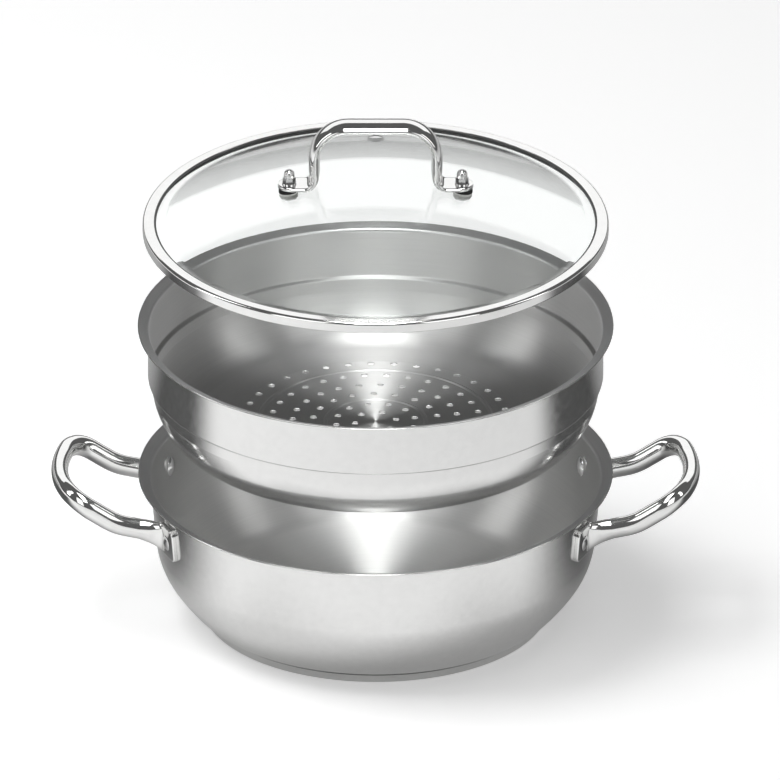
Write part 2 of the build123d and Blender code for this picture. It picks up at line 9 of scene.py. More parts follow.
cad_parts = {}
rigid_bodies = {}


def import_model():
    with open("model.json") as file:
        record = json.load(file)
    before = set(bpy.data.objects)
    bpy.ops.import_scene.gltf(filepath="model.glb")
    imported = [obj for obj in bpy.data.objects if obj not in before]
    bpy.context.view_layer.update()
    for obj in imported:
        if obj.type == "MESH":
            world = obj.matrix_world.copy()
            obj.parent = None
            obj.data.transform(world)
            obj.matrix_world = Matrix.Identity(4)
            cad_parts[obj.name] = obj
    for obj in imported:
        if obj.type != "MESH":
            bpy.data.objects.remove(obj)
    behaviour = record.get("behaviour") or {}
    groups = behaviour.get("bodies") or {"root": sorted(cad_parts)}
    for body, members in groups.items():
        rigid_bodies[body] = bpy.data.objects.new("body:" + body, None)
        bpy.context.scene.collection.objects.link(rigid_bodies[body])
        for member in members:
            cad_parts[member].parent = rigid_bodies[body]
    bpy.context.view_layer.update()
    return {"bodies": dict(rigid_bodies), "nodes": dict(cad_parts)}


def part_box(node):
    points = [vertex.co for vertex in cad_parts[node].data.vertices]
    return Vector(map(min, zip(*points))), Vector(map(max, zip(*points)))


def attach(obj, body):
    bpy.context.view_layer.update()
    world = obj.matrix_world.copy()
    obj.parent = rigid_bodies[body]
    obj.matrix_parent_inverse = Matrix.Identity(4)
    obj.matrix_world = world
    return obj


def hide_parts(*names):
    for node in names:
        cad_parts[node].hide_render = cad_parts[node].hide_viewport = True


# Steamer pot with its insert and glass lid, lifted one above the other. Metres, +Z up.
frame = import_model()
print("frame loaded,", len(frame["nodes"]), "nodes")

mm = 0.001
quarterTurn = math.pi / 2
fullTurn = 2 * math.pi
segments = 256  # steps round every turned piece
tiny = 1e-6  # shorter lengths count as nothing


# Helpers for materials

def hexToLinear(code):
    channels = [int(code[i:i + 2], 16) / 255 for i in (1, 3, 5)]
    return [c / 12.92 if c <= 0.04045 else ((c + 0.055) / 1.055) ** 2.4 for c in channels] + [1.0]


def addNode(tree, kind, settings=None, values=None, links=None):
    node = tree.nodes.new(kind)
    for name, value in (settings or {}).items():
        setattr(node, name, value)
    for socket, value in (values or {}).items():
        node.inputs[socket].default_value = value
    for socket, source in (links or {}).items():
        tree.links.new(source, node.inputs[socket])
    return node


def mathNode(tree, kind, values=None, links=None):
    return addNode(tree, "ShaderNodeMath", {"operation": kind}, values, links).outputs[0]


def newMaterial(name):
    material = bpy.data.materials.new(name)
    material.use_nodes = True
    material.node_tree.nodes.clear()
    return material, material.node_tree


def finishMaterial(tree, shader):
    addNode(tree, "ShaderNodeOutputMaterial", links={"Surface": shader})


def turnedCoordinates(tree, grain, sweep):
    # Radius and height over the grain size, and a slow turn round Z: noise on these gives the
    # lines of a turned surface
    place = addNode(tree, "ShaderNodeTexCoord").outputs["Object"]
    parts = addNode(tree, "ShaderNodeSeparateXYZ", links={0: place})
    flat = addNode(tree, "ShaderNodeCombineXYZ", links={0: parts.outputs[0], 1: parts.outputs[1]})
    flat = flat.outputs[0]
    radius = addNode(tree, "ShaderNodeVectorMath", {"operation": "LENGTH"}, links={0: flat})
    outward = addNode(tree, "ShaderNodeVectorMath", {"operation": "NORMALIZE"}, links={0: flat})
    slow = addNode(tree, "ShaderNodeVectorMath", {"operation": "SCALE"}, {"Scale": sweep},
                   {0: outward.outputs[0]})
    lines = addNode(tree, "ShaderNodeCombineXYZ",
                    links={0: radius.outputs["Value"], 2: parts.outputs[2]})
    fine = addNode(tree, "ShaderNodeVectorMath", {"operation": "SCALE"}, {"Scale": 1 / grain},
                   {0: lines.outputs[0]})
    return addNode(tree, "ShaderNodeVectorMath", {"operation": "ADD"},
                   links={0: fine.outputs[0], 1: slow.outputs[0]}).outputs[0]


def straightCoordinates(tree, grain):
    place = addNode(tree, "ShaderNodeTexCoord").outputs["Object"]
    return addNode(tree, "ShaderNodeVectorMath", {"operation": "MULTIPLY"}, {1: [1 / grain] * 3},
                   {0: place}).outputs[0]


def noiseOver(tree, coordinates, detail, roughness):
    # The coordinates already count in grains, so the noise keeps a scale of 1
    return addNode(tree, "ShaderNodeTexNoise", {},
                   {"Scale": 1.0, "Detail": detail, "Roughness": roughness},
                   {"Vector": coordinates}).outputs[0]


def shades(tree, codes, factor):
    dark, light = (hexToLinear(code) for code in codes)
    return addNode(tree, "ShaderNodeMix", {"data_type": "RGBA"}, {6: dark, 7: light},
                   {0: factor}).outputs[2]


def spread(tree, value, target, source=(0.0, 1.0)):
    return addNode(tree, "ShaderNodeMapRange", {},
                   {"From Min": source[0], "From Max": source[1],
                    "To Min": target[0], "To Max": target[1]}, {"Value": value}).outputs[0]


def bumped(tree, height, strength, depth):
    return addNode(tree, "ShaderNodeBump", {}, {"Strength": strength, "Distance": depth * mm},
                   {"Height": height}).outputs[0]


steelNoise = {"detail": 3.0, "roughness": 0.6, "band": (0.3, 0.7)}  # nearly all lies in the band
softNoise = 0.5
brushTurn = 0.25  # a quarter turn lays the stretched highlight across the brush lines


def steel(name, look):
    # look: two colours, roughness from and to, grain and bump in mm, and for turned or brushed
    # metal how fast its lines change round Z and how strongly they stretch a highlight
    material, tree = newMaterial(name)
    if look.get("turned"):
        coordinates = turnedCoordinates(tree, look["grain"] * mm, look["sweep"])
    else:
        coordinates = straightCoordinates(tree, look["grain"] * mm)
    noise = noiseOver(tree, coordinates, look.get("detail", steelNoise["detail"]),
                      steelNoise["roughness"])
    values = {"Metallic": 1.0, "Anisotropic": look.get("anisotropic", 0.0)}
    links = {"Base Color": shades(tree, look["colours"], noise),
             "Roughness": spread(tree, noise, look["roughness"], steelNoise["band"]),
             "Normal": bumped(tree, noise, look["bumpStrength"], look["bump"])}
    if look.get("anisotropic"):
        tangent = addNode(tree, "ShaderNodeTangent", {"direction_type": "RADIAL", "axis": "Z"})
        values["Anisotropic Rotation"] = brushTurn
        links["Tangent"] = tangent.outputs[0]
    shader = addNode(tree, "ShaderNodeBsdfPrincipled", {}, values, links)
    finishMaterial(tree, shader.outputs[0])
    return material


# Helpers for shapes, in millimetres and degrees. A run is a list of (radius, height, radius part
# of the normal, height part of the normal)

def followRun(start, heading, moves, sideStep, arcStep=4.0):
    # A move is ("line", length), perhaps with its longest step, or ("arc", radius, turn) where a
    # left turn is positive. sideStep moves the whole run to its left
    angle = math.radians(heading)
    x = start[0] - sideStep * math.sin(angle)
    y = start[1] + sideStep * math.cos(angle)
    run = [(x, y, -math.sin(angle), math.cos(angle))]
    for move in moves:
        if move[0] == "line":
            if move[1] <= 0:
                continue
            steps = max(1, math.ceil(move[1] / move[2])) if len(move) > 2 else 1
            for _ in range(steps):
                x += move[1] / steps * math.cos(angle)
                y += move[1] / steps * math.sin(angle)
                run.append((x, y, -math.sin(angle), math.cos(angle)))
            continue
        turn = math.radians(move[2])
        side = math.copysign(1, turn)
        radius = move[1] - side * sideStep
        centre = (x - side * radius * math.sin(angle), y + side * radius * math.cos(angle))
        steps = max(2, math.ceil(abs(move[2]) / arcStep))
        for _ in range(steps):
            angle += turn / steps
            x = centre[0] + side * radius * math.sin(angle)
            y = centre[1] - side * radius * math.cos(angle)
            run.append((x, y, -math.sin(angle), math.cos(angle)))
    return run


def flipped(run):
    return [(r, z, -nr, -nz) for r, z, nr, nz in run]


def roundedEdge(first, last, steps=6):
    # Half a circle from the end of one face to the start of the other
    cx, cz = (first[0] + last[0]) / 2, (first[1] + last[1]) / 2
    dx, dz = first[0] - cx, first[1] - cz
    radius = math.hypot(dx, dz)
    ax, az = dz, -dx
    run = []
    for i in range(steps + 1):
        turn = math.pi * i / steps
        nr = (dx * math.cos(turn) + ax * math.sin(turn)) / radius
        nz = (dz * math.cos(turn) + az * math.sin(turn)) / radius
        run.append((cx + radius * nr, cz + radius * nz, nr, nz))
    return run


def outlineRun(corners):
    # Straight sides with a sharp corner between them, taken clockwise in (radius, height)
    run = []
    for (r0, z0), (r1, z1) in zip(corners, corners[1:] + corners[:1]):
        length = math.hypot(r1 - r0, z1 - z0)
        normal = ((z0 - z1) / length, (r1 - r0) / length)
        run += [(r0, z0) + normal, (r1, z1) + normal]
    return run


def newSurface():
    return {"points": [], "normals": [], "faces": [], "slots": []}


def turnRun(surface, run, slot=0, lift=0.0):
    # Turns a run round Z; the metal lies behind its normals
    angles = np.arange(segments) * fullTurn / segments
    cosines, sines = np.cos(angles), np.sin(angles)
    base = sum(len(p) for p in surface["points"])
    for r, z, nr, nz in run:
        r = max(r, 0.0)
        surface["points"].append(np.stack([r * cosines, r * sines, np.full(segments, z + lift)], 1))
        surface["normals"].append(np.stack([nr * cosines, nr * sines, np.full(segments, nz)], 1))
    for i in range(len(run) - 1):
        (r0, z0, nr0, nz0), (r1, z1, nr1, nz1) = run[i], run[i + 1]
        if math.hypot(r1 - r0, z1 - z0) < tiny:
            continue
        facing = (z0 - z1) * (nr0 + nr1) + (r1 - r0) * (nz0 + nz1) > 0
        for j in range(segments):
            a, b = base + i * segments + j, base + i * segments + (j + 1) % segments
            c, d = b + segments, a + segments
            surface["faces"].append((a, d, c, b) if facing else (a, b, c, d))
            surface["slots"].append(slot)


placeSteps = 1e7  # per metre, and normalSteps per unit: finer differences count as none
normalSteps = 1e3


def finishSurface(name, surface, materials, body, replaced):
    points = np.concatenate(surface["points"]) * mm
    normals = np.concatenate(surface["normals"])
    # Points are one where both place and normal agree, so each crease keeps a clean edge
    keys = np.concatenate([points * placeSteps, normals * normalSteps], 1)
    keys = np.round(keys).astype(np.int64)
    _, first, same = np.unique(keys, axis=0, return_index=True, return_inverse=True)
    same = same.reshape(-1)
    faces, loopNormals, slots = [], [], []
    for face, slot in zip(surface["faces"], surface["slots"]):
        kept = [v for i, v in enumerate(face) if same[v] != same[face[i - 1]]]
        if len(kept) > 2:
            faces.append([int(same[v]) for v in kept])
            loopNormals += [normals[v] for v in kept]
            slots.append(slot)
    mesh = bpy.data.meshes.new(name)
    mesh.from_pydata(points[first].tolist(), [], faces)
    for material in materials:
        mesh.materials.append(material)
    mesh.polygons.foreach_set("material_index", slots)
    mesh.polygons.foreach_set("use_smooth", [True] * len(faces))
    mesh.update()
    mesh.normals_split_custom_set([Vector(n).normalized() for n in loopNormals])
    addPiece(name, mesh, body, replaced)


def addPiece(name, mesh, body, replaced):
    piece = bpy.data.objects.new(name, mesh)
    bpy.context.scene.collection.objects.link(piece)
    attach(piece, body)
    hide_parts(*replaced)


# Materials

# Deep-drawn stainless steel, outside polished: the eye gets clear, slightly soft reflections
polishedSteel = steel("mirror polished stainless steel", {
    "colours": ("#E2E2E1", "#EDEDEC"), "roughness": (0.13, 0.2), "grain": 5.0, "detail": 2.0,
    "bump": 0.02, "bumpStrength": 0.05,
})
# The same sheet spun against an abrasive belt inside: circular lines that stretch each highlight
satinSteel = steel("circular brushed stainless steel", {
    "colours": ("#C9C9C8", "#DDDDDC"), "roughness": (0.38, 0.5), "grain": 0.55,
    "turned": True, "sweep": 1.2, "bump": 0.03, "bumpStrength": 0.2, "anisotropic": 0.92,
})
# Flared lips are buffed smooth after forming: an even, quiet grey
lipSteel = steel("buffed stainless steel", {
    "colours": ("#CCCCCC", "#DADADA"), "roughness": (0.32, 0.4), "grain": 0.5,
    "turned": True, "sweep": 1.0, "bump": 0.01, "bumpStrength": 0.1,
})
# Bar and strip bent cold, then barrel polished: near-mirror with faint waves
handleSteel = steel("barrel polished stainless steel", {
    "colours": ("#E8E8E7", "#F0F0EF"), "roughness": (0.05, 0.1), "grain": 7.0, "detail": 1.0,
    "bump": 0.03, "bumpStrength": 0.08,
})
# Turned and plated small parts: bright, with tight turning lines
fastenerSteel = steel("turned stainless steel", {
    "colours": ("#D6D6D6", "#E8E8E8"), "roughness": (0.08, 0.16), "grain": 0.6,
    "bump": 0.01, "bumpStrength": 0.1,
})
# Rolled aluminium plate pressed under the floor: duller and slightly blue beside the steel
baseAluminium = steel("rolled aluminium", {
    "colours": ("#B9BCC0", "#C8CBCE"), "roughness": (0.3, 0.42), "grain": 0.8,
    "turned": True, "sweep": 2.0, "bump": 0.02, "bumpStrength": 0.2, "anisotropic": 0.4,
})


rubber = {"ior": 1.42, "detail": 4.0, "bump": 0.02, "bumpStrength": 0.3}


def silicone(name, look):
    # Silicone rubber: matt, with a faint powdery grain
    material, tree = newMaterial(name)
    coordinates = straightCoordinates(tree, look["grain"] * mm)
    noise = noiseOver(tree, coordinates, rubber["detail"], softNoise)
    shader = addNode(tree, "ShaderNodeBsdfPrincipled", {}, {"IOR": rubber["ior"]},
                     {"Base Color": shades(tree, look["colours"], noise),
                      "Roughness": spread(tree, noise, look["roughness"]),
                      "Normal": bumped(tree, noise, rubber["bumpStrength"], rubber["bump"])})
    finishMaterial(tree, shader.outputs[0])
    return material


# Gaskets above the glass: the eye gets a near-black ring
gasketSilicone = silicone("moulded black silicone", {
    "colours": ("#161616", "#242424"), "roughness": (0.5, 0.65), "grain": 0.3,
})
# Gaskets below the glass are undyed: milky, so they hardly show through it
clearSilicone = silicone("moulded clear silicone", {
    "colours": ("#DADAD7", "#E8E8E5"), "roughness": (0.4, 0.5), "grain": 0.3,
})
# Extruded seal of the rim: a dark grey line between glass and steel
rimSilicone = silicone("extruded dark silicone", {
    "colours": ("#3A3A3A", "#4A4A4A"), "roughness": (0.45, 0.6), "grain": 0.4,
})


def temperedGlass(name, look):
    # Lamps shine straight through it, so its shadow stays as faint as a real one
    material, tree = newMaterial(name)
    coordinates = straightCoordinates(tree, look["wave"] * mm)
    noise = noiseOver(tree, coordinates, look["detail"], softNoise)
    glass = addNode(tree, "ShaderNodeBsdfPrincipled", {},
                    {"Base Color": hexToLinear(look["colour"]), "IOR": look["ior"],
                     "Specular IOR Level": look["reflection"], "Transmission Weight": 1.0},
                    {"Roughness": spread(tree, noise, look["roughness"]),
                     "Normal": bumped(tree, noise, look["bumpStrength"], look["bump"])})
    clear = addNode(tree, "ShaderNodeBsdfTransparent", {}, {"Color": hexToLinear(look["shadow"])})
    path = addNode(tree, "ShaderNodeLightPath")
    through = mathNode(tree, "MAXIMUM", links={0: path.outputs["Is Shadow Ray"],
                                               1: path.outputs["Is Diffuse Ray"]})
    mix = addNode(tree, "ShaderNodeMixShader", {}, {},
                  {0: through, 1: glass.outputs[0], 2: clear.outputs[0]})
    finishMaterial(tree, mix.outputs[0])
    return material


# Pressed soda-lime glass, tempered: clear with a faint wave and a weak reflection
lidGlass = temperedGlass("pressed tempered glass", {
    "colour": "#FBFDFC", "shadow": "#F4F6F5", "ior": 1.5, "reflection": 0.15,
    "wave": 60.0, "detail": 1.0, "roughness": (0.0, 0.015), "bump": 0.05, "bumpStrength": 0.05,
})
print("materials made")


# Pot: a spun bowl with a flared lip. A "Step" is the longest that a face may be along the run
pot = {
    "height": 94.0, "rimRadius": 147.0, "sheet": 0.8, "floorTop": 6.8,
    "lipWidth": 6.1, "lipRise": 20.0, "lipBend": 3.0, "wallLean": 5.5,
    "upperBowl": 47.0, "upperTurn": 27.5, "lowerBowl": 109.0, "lowerTurn": 11.4,
    "floorCorner": 12.5, "wallStep": 8.0, "floorStep": 6.0,
}


def runEnd(start, heading, moves):
    last = followRun(start, heading, moves, 0)[-1]
    return last[0], last[1], heading + sum(m[2] for m in moves if m[0] == "arc")


def potMoves():
    lip = [("line", pot["lipWidth"]),
           ("arc", pot["lipBend"], 90 - pot["lipRise"] - pot["wallLean"])]
    corner = 90 - pot["wallLean"] - pot["upperTurn"] - pot["lowerTurn"]
    bowl = [("arc", pot["upperBowl"], -pot["upperTurn"]),
            ("arc", pot["lowerBowl"], -pot["lowerTurn"]), ("arc", pot["floorCorner"], -corner)]
    start, heading = (pot["rimRadius"], pot["height"]), 180 + pot["lipRise"]
    _, footHeight, wallHeading = runEnd(start, heading, lip)
    bowlDrop = -runEnd((0, 0), wallHeading, bowl)[1]
    wall = (footHeight - bowlDrop - pot["floorTop"]) / math.cos(math.radians(pot["wallLean"]))
    body = [("line", wall, pot["wallStep"])] + bowl
    flat = runEnd(start, heading, lip + body)[0]
    return start, heading, lip, body + [("line", flat, pot["floorStep"])]


potStart, potHeading, potLip, potBody = potMoves()
insideFace, lipFace, outsideFace = range(3)
sheetFinishes = [satinSteel, lipSteel, polishedSteel]  # in the same order


def sheetPiece(surface, start, heading, lip, body, sheet, lift):
    # A pressed sheet: lip, inside and outside faces carry their own finish
    lipX, lipZ, bodyHeading = runEnd(start, heading, lip)
    near = flipped(followRun(start, heading, lip, 0))
    far = followRun(start, heading, lip, sheet)
    inside = flipped(followRun((lipX, lipZ), bodyHeading, body, 0))
    outside = followRun((lipX, lipZ), bodyHeading, body, sheet)
    turnRun(surface, near, lipFace, lift)
    turnRun(surface, roundedEdge(far[0], near[0]), outsideFace, lift)
    turnRun(surface, far, outsideFace, lift)
    turnRun(surface, inside, insideFace, lift)
    turnRun(surface, outside, outsideFace, lift)


potSurface = newSurface()
sheetPiece(potSurface, potStart, potHeading, potLip, potBody, pot["sheet"], 0.0)
finishSurface("pot_body", potSurface, sheetFinishes, "pot", ["pot_shell"])


def potWallRadius(height, offset):
    # Radius of the straight wall's inner face at a height, moved out by an offset
    lean = math.radians(pot["wallLean"])
    footX, footZ, _ = runEnd(potStart, potHeading, potLip)
    return footX - (footZ - height) * math.tan(lean) + offset / math.cos(lean)


print("pot body turned")

# Base: steel cap pressed over the aluminium plate, with a rolled lower edge
base = {
    "height": 6.0, "capTop": 5.9, "topRadius": 109.44, "taper": 2.4, "edge": 1.0, "sheet": 0.6,
    "floorStep": 12.0,
}


def baseCap():
    lean = math.atan2(base["taper"], base["height"])
    leanAngle = math.degrees(lean)
    bottomRadius = base["topRadius"] - base["taper"]
    startRadius = bottomRadius + base["capTop"] * math.tan(lean)
    side = (base["capTop"] - base["edge"] * (1 - math.sin(lean))) / math.cos(lean)
    moves = [("line", side), ("arc", base["edge"], -(90 - leanAngle))]
    start, heading = (startRadius, base["capTop"]), 270 - leanAngle
    flat = runEnd(start, heading, moves)[0]
    moves += [("line", flat, base["floorStep"])]
    surface = newSurface()
    outer = followRun(start, heading, moves, 0)
    inner = flipped(followRun(start, heading, moves, -base["sheet"]))
    turnRun(surface, outer)
    turnRun(surface, inner)
    topNormal = (0.0, 1.0)
    turnRun(surface, [outer[0][:2] + topNormal, inner[0][:2] + topNormal])
    finishSurface("base_cap_turned", surface, [polishedSteel], "pot", ["base_cap"])


baseCap()

# Steamer insert: lip, wall, shoulder, locating band, bowl and a perforated floor. Depths and drops
# are measured below its own rim
insert = {
    "rimRadius": 147.3, "sheet": 0.8, "lipWidth": 5.85, "lipBend": 2.0, "wallDepth": 33.6,
    "shoulderRadius": 1.0, "shoulderAngle": 72.0, "shoulderRun": 1.5, "bandDepth": 43.2,
    "kink": 9.0, "bowlRadius": 42.0, "bowlTurn": 34.0, "cornerRadius": 16.0, "depth": 71.2,
    "floorRise": 4.6, "panelRadius": 85.2, "crease": 4.0,
    "ridgeShares": (0.851, 0.364), "ridgeAngle": 34.0, "ridgeBend": 1.6, "ridgeStep": 8.0,
    "holeRadius": 2.05, "holeEdge": 0.3, "holeSides": 20,
    "ringShares": (0.962, 0.763, 0.604, 0.458, 0.291, 0.153),
    "ringCounts": (36, 30, 24, 18, 12, 6), "ringPhases": (-2.0, 6.0, 3.5, -1.7, 18.5, 18.0),
    "wallStep": 8.0, "bandStep": 4.0, "coneStep": 5.0, "edgeTop": 0.0241,
}
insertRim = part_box("steamer_insert")[1].z / mm
# The rounded edge's highest point lies edgeTop sheets above the start of the lip
insertLift = insertRim - insert["edgeTop"] * insert["sheet"]


def ridgeMoves():
    bend, angle = insert["ridgeBend"], insert["ridgeAngle"]
    return [("arc", bend, -angle), ("arc", bend, 2 * angle), ("arc", bend, -angle)]


def insertMoves():
    start, heading = (insert["rimRadius"], 0.0), 180 + pot["lipRise"]
    lip = [("line", insert["lipWidth"]), ("arc", insert["lipBend"], 90 - pot["lipRise"])]
    shoulder = [("arc", insert["shoulderRadius"], -insert["shoulderAngle"]),
                ("line", insert["shoulderRun"]),
                ("arc", insert["shoulderRadius"], insert["shoulderAngle"])]
    _, lipZ, wallHeading = runEnd(start, heading, lip)
    shoulderDrop = runEnd((0, 0), wallHeading, shoulder)[1]
    band = insert["bandDepth"] - insert["wallDepth"] + shoulderDrop
    body = [("line", insert["wallDepth"] + lipZ, insert["wallStep"])] + shoulder
    body += [("line", band, insert["bandStep"]), ("arc", insert["sheet"] / 2, -insert["kink"])]
    _, footZ, bowlHeading = runEnd(start, heading, lip + body)
    bowl = [("arc", insert["bowlRadius"], -insert["bowlTurn"]),
            ("arc", insert["cornerRadius"], -(90 - insert["kink"] - insert["bowlTurn"]))]
    drop = -runEnd((0, 0), bowlHeading, bowl)[1]
    straight = (insert["depth"] + footZ - drop) / math.cos(math.radians(insert["kink"]))
    body += [("line", straight, insert["bandStep"])] + bowl
    floorX = runEnd(start, heading, lip + body)[0]
    lean = math.atan2(insert["floorRise"], floorX - insert["panelRadius"])
    leanAngle = math.degrees(lean)
    body += [("arc", insert["cornerRadius"], -leanAngle)]
    coneX = runEnd(start, heading, lip + body)[0]
    cone = (coneX - insert["panelRadius"]) / math.cos(lean)
    body += [("line", cone, insert["coneStep"]), ("arc", insert["crease"], leanAngle)]
    return start, heading, lip, body


def ringPoints(radius, count=segments):
    angles = (fullTurn * i / count for i in range(count))
    return [(radius * math.cos(a), radius * math.sin(a)) for a in angles]


def holeCentres(innerRadius, outerRadius):
    centres = []
    rings = zip(insert["ringShares"], insert["ringCounts"], insert["ringPhases"])
    for share, count, phase in rings:
        radius = insert["panelRadius"] * share
        if innerRadius < radius < outerRadius:
            for i in range(count):
                angle = quarterTurn - math.radians(phase) - fullTurn * i / count
                centres.append((radius * math.cos(angle), radius * math.sin(angle)))
    return centres


def zoneFace(surface, outerRadius, innerRadius, centres, level, up):
    # One face of a flat zone, with a round gap for each hole and its broken edge
    radius = insert["holeRadius"]
    gap = ringPoints(radius + insert["holeEdge"], insert["holeSides"])
    loops = [ringPoints(outerRadius)]
    if innerRadius > 0:
        loops.append(ringPoints(innerRadius))
    loops += [[(cx + x, cy + y) for x, y in gap] for cx, cy in centres]
    points = [Vector(p) for loop in loops for p in loop]
    edges, start = [], 0
    for loop in loops:
        edges += [(start + i, start + (i + 1) % len(loop)) for i in range(len(loop))]
        start += len(loop)
    mergeWithin, edgeMargin = 1e-5, 1e-3
    flat, _, faces, *_ = delaunay_2d_cdt(points, edges, [], 0, mergeWithin)
    base = sum(len(p) for p in surface["points"])
    surface["points"].append(np.array([[p.x, p.y, level] for p in flat]))
    surface["normals"].append(np.tile([0.0, 0.0, up], (len(flat), 1)))
    for face in faces:
        middle = sum((flat[v] for v in face), Vector((0, 0))) / len(face)
        if not innerRadius - edgeMargin < middle.length < outerRadius:
            continue
        if any((middle.x - cx) ** 2 + (middle.y - cy) ** 2 < radius ** 2 for cx, cy in centres):
            continue
        turn = (flat[face[1]] - flat[face[0]]).cross(flat[face[2]] - flat[face[1]])
        order = face if turn * up > 0 else face[::-1]
        surface["faces"].append([base + v for v in order])
        surface["slots"].append(insideFace if up > 0 else outsideFace)


def holeWalls(surface, centres, top, bottom):
    # A straight wall through the sheet, with a small broken edge at both ends
    radius, edge, sides = insert["holeRadius"], insert["holeEdge"], insert["holeSides"]
    circle = ringPoints(1.0, sides)
    slant = math.sqrt(0.5)
    levels = [(radius + edge, top, slant), (radius, top - edge, slant), (radius, top - edge, 0.0),
              (radius, bottom + edge, 0.0), (radius, bottom + edge, -slant),
              (radius + edge, bottom, -slant)]
    for cx, cy in centres:
        base = sum(len(p) for p in surface["points"])
        for r, z, rise in levels:
            across = math.sqrt(1 - rise ** 2)
            surface["points"].append(np.array([[cx + r * x, cy + r * y, z] for x, y in circle]))
            surface["normals"].append(
                np.array([[-x * across, -y * across, rise] for x, y in circle]))
        for row in range(len(levels) - 1):
            for i in range(sides):
                a, b = base + row * sides + i, base + row * sides + (i + 1) % sides
                surface["faces"].append((a, b, b + sides, a + sides))
                surface["slots"].append(insideFace)


def steamerInsert():
    start, heading, lip, body = insertMoves()
    sheet, arcStep = insert["sheet"], insert["ridgeStep"]
    surface = newSurface()
    sheetPiece(surface, start, heading, lip, body, sheet, insertLift)
    place, panelZ, _ = runEnd(start, heading, lip + body)
    ridge = ridgeMoves()
    ridgeWidth = -runEnd((0, 0), 180, ridge)[0]
    zones = []
    for share in insert["ridgeShares"]:
        outer = insert["panelRadius"] * share + ridgeWidth / 2
        zones.append((place, outer))
        upper = flipped(followRun((outer, panelZ), 180, ridge, 0, arcStep))
        lower = followRun((outer, panelZ), 180, ridge, sheet, arcStep)
        turnRun(surface, upper, insideFace, insertLift)
        turnRun(surface, lower, outsideFace, insertLift)
        place = outer - ridgeWidth
    zones.append((place, 0.0))
    top, bottom = panelZ + insertLift, panelZ - sheet + insertLift
    for outer, inner in zones:
        centres = holeCentres(inner, outer)
        zoneFace(surface, outer, inner, centres, top, 1.0)
        zoneFace(surface, outer, inner, centres, bottom, -1.0)
        holeWalls(surface, centres, top, bottom)
    finishSurface("insert_body", surface, sheetFinishes, "insert",
                  ["steamer_insert"])


steamerInsert()
print("steamer insert made")

# Lid: glass, rolled rim and seal, measured up from the rim's underside
lid = {
    "radius": 144.6, "rimHeight": 7.2, "rimSheet": 0.6, "flange": 6.9, "lowerFlange": 6.1,
    "topBend": 1.8, "bottomBend": 1.2, "seal": 0.9, "gap": 0.05, "sealLip": 1.5,
    "glass": 4.0, "crownRadius": 332.0, "edgeBend": 8.0, "flatWidth": 8.8,
    "crownStep": 0.8, "rimStep": 8.0,
}
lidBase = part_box("lid_rim")[0].z / mm
glassTop = (lid["rimHeight"] + lid["glass"]) / 2
glassEdge = lid["radius"] - lid["rimSheet"] - lid["seal"] - 2 * lid["gap"]
bendReach = lid["crownRadius"] + lid["edgeBend"]
crownTurn = math.asin((glassEdge - lid["flatWidth"]) / bendReach)
apex = glassTop + bendReach * (1 - math.cos(crownTurn))


def crownHeight(radius):
    return apex - lid["crownRadius"] + math.sqrt(lid["crownRadius"] ** 2 - radius ** 2)


def finishLid(name, runs, material, node):
    surface = newSurface()
    for run in runs:
        turnRun(surface, run, 0, lidBase)
    finishSurface(name, surface, [material], "lid", [node])


def lidGlassPiece():
    crownAngle, step = math.degrees(crownTurn), lid["crownStep"]
    moves = [("arc", lid["crownRadius"], -crownAngle), ("arc", lid["edgeBend"], crownAngle)]
    reach = runEnd((0, apex), 0, moves)[0]
    moves += [("line", glassEdge - reach)]
    upper = followRun((0, apex), 0, moves, 0, step)
    lower = flipped(followRun((0, apex), 0, moves, -lid["glass"], step))
    edge = [(glassEdge, glassTop, 1.0, 0.0), (glassEdge, glassTop - lid["glass"], 1.0, 0.0)]
    finishLid("lid_glass_dome", [upper, edge, lower], lidGlass, "lid_glass")


def lidRimPiece():
    side = lid["rimHeight"] - lid["topBend"] - lid["bottomBend"]
    moves = [("line", lid["flange"] - lid["topBend"]), ("arc", lid["topBend"], -90),
             ("line", side), ("arc", lid["bottomBend"], -90),
             ("line", lid["lowerFlange"] - lid["bottomBend"])]
    start = (lid["radius"] - lid["flange"], lid["rimHeight"])
    outer = followRun(start, 0, moves, 0, lid["rimStep"])
    inner = followRun(start, 0, moves, -lid["rimSheet"], lid["rimStep"])
    runs = [outer, flipped(inner), roundedEdge(inner[0], outer[0]),
            roundedEdge(outer[-1], inner[-1])]
    finishLid("lid_rim_rolled", runs, handleSteel, "lid_rim")


def lidSealPiece():
    gap = lid["gap"]
    outer = lid["radius"] - lid["rimSheet"] - gap
    web = outer - lid["seal"]
    top, bottom = lid["rimHeight"] - lid["rimSheet"] - gap, lid["rimSheet"] + gap
    corner = lid["topBend"] - lid["rimSheet"]
    upperLip = lid["radius"] - lid["flange"] - lid["sealLip"]
    lowerLip = lid["radius"] - lid["lowerFlange"]
    glassHigh, glassLow = glassTop + gap, glassTop - lid["glass"] - gap
    corners = [(upperLip, glassHigh), (upperLip, top), (outer - corner, top),
               (outer, top - corner), (outer, bottom + corner), (outer - corner, bottom),
               (lowerLip, bottom), (lowerLip, glassLow), (web, glassLow), (web, glassHigh)]
    finishLid("lid_seal_ring", [outlineRun(corners)], rimSilicone, "lid_rim_seal")


lidGlassPiece()
lidRimPiece()
lidSealPiece()
print("lid made")


# Bars bent along a line of tangent arcs
straightTurn = 1e-4  # a corner that turns less than this, in radians, is none


